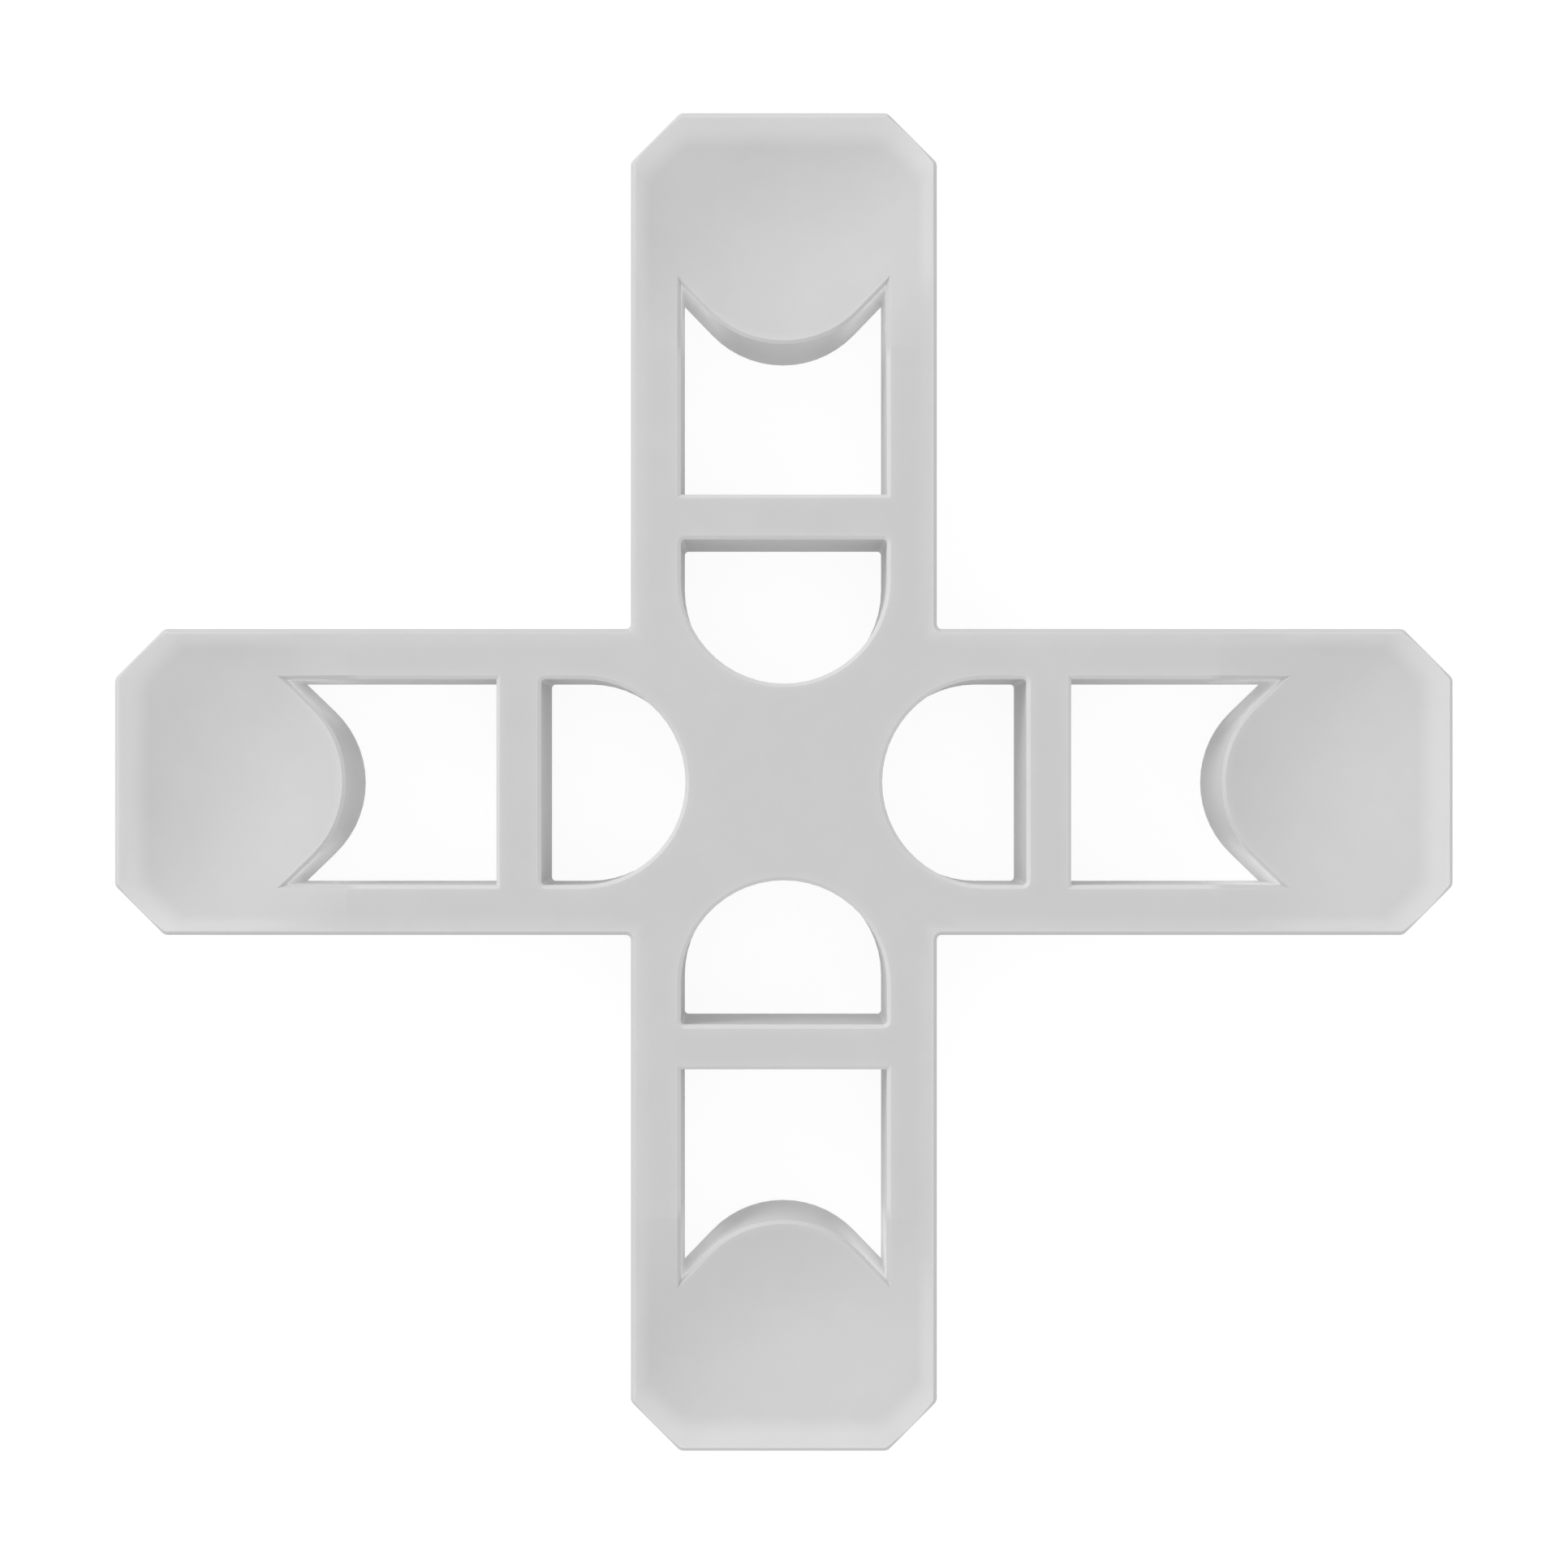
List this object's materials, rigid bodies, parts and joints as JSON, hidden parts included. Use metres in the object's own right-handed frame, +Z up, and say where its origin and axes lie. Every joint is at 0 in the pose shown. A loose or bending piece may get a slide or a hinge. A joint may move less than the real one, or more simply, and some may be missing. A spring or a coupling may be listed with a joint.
{
  "type": "tile spacer",
  "caption": "Flat plastic cross spacer with windows in its legs and a finger dish at each end, for setting an even gap between tiles or pavers.",
  "frame": {"origin": "middle of the underside, below the centre of the cross", "axes": "+Z up, out of the dished upper side; the legs run along X and Y"},
  "size_m": [0.0556, 0.0556, 0.0048],
  "materials": {
    "moulded_plastic": "pale grey polyethylene, injection moulded, satin to matte"
  },
  "bodies": {
    "root": {"tile_spacer": "moulded_plastic"}
  },
  "joints": []
}
